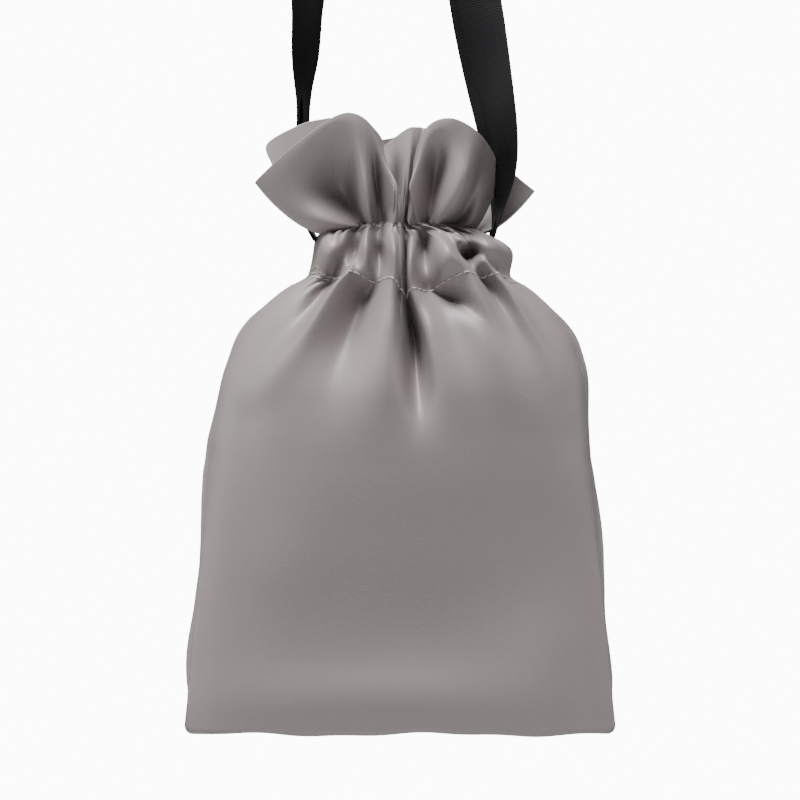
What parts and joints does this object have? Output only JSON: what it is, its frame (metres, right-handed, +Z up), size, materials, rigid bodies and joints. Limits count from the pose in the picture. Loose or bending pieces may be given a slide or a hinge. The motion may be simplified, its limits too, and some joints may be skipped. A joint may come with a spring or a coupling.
{
  "type": "shoe bag",
  "caption": "Satin drawstring shoe bag, drawn shut under a ruffled header and hung by flat ribbon loops that run through both casings.",
  "frame": {"origin": "on the axis of the rail that both ribbon loops hang over, above the middle of the bag", "axes": "+X to the bag's right side as seen from its front, -Y out of its front, +Z up along the hanging bag"},
  "size_m": [0.248, 0.074, 0.4617],
  "materials": {
    "satin": "taupe satin with a soft sheen",
    "ribbon": "black matte satin ribbon",
    "thread": "light polyester thread"
  },
  "bodies": {
    "bag": {"front_panel": "satin", "back_panel": "satin", "bottom_fold": "satin", "left_seam_allowance": "satin", "left_seam_stitches": "thread", "left_slot_tacks": "thread", "left_ribbon_crossing": "ribbon", "left_ribbon_exit": "ribbon", "right_seam_allowance": "satin", "right_seam_stitches": "thread", "right_slot_tacks": "thread", "right_ribbon_crossing": "ribbon", "right_ribbon_exit": "ribbon"},
    "front_mouth": {"front_casing": "satin", "front_casing_facing": "satin", "front_hem": "satin", "front_left_ribbon_run": "ribbon", "front_right_ribbon_run": "ribbon", "front_header": "satin", "front_header_facing": "satin", "front_top_fold": "satin", "front_lower_stitches": "thread", "front_neck_stitches": "thread"},
    "back_mouth": {"back_casing": "satin", "back_casing_facing": "satin", "back_hem": "satin", "back_left_ribbon_run": "ribbon", "back_right_ribbon_run": "ribbon", "back_header": "satin", "back_header_facing": "satin", "back_top_fold": "satin", "back_lower_stitches": "thread", "back_neck_stitches": "thread"},
    "left_loop": {"left_ribbon_loop": "ribbon", "left_ribbon_join": "ribbon", "left_join_stitches": "thread"},
    "right_loop": {"right_ribbon_loop": "ribbon", "right_ribbon_join": "ribbon", "right_join_stitches": "thread"}
  },
  "joints": [
    {"name": "front_mouth_opens", "type": "hinge", "parent": "bag", "child": "front_mouth", "pos_m": [0, -0.024, -0.188], "axis": [1, 0, 0], "range_deg": [0, 25]},
    {"name": "back_mouth_opens", "type": "hinge", "parent": "bag", "child": "back_mouth", "pos_m": [0, 0.024, -0.188], "axis": [-1, 0, 0], "range_deg": [0, 25]},
    {"name": "left_ribbon_draws_in", "type": "slide", "parent": "bag", "child": "left_loop", "axis": [-0.0436, 0, -0.999], "range_m": [0, 0.04], "deforming": ["left_ribbon_loop"]},
    {"name": "right_ribbon_draws_in", "type": "slide", "parent": "bag", "child": "right_loop", "axis": [0.1219, 0, -0.9925], "range_m": [0, 0.04], "deforming": ["right_ribbon_loop"]}
  ],
  "couplings": [
    {"joint": "back_mouth_opens", "follows": "front_mouth_opens", "ratio": 1},
    {"joint": "left_ribbon_draws_in", "follows": "front_mouth_opens", "m_per_rad": 0.0915},
    {"joint": "right_ribbon_draws_in", "follows": "front_mouth_opens", "m_per_rad": 0.0915}
  ]
}
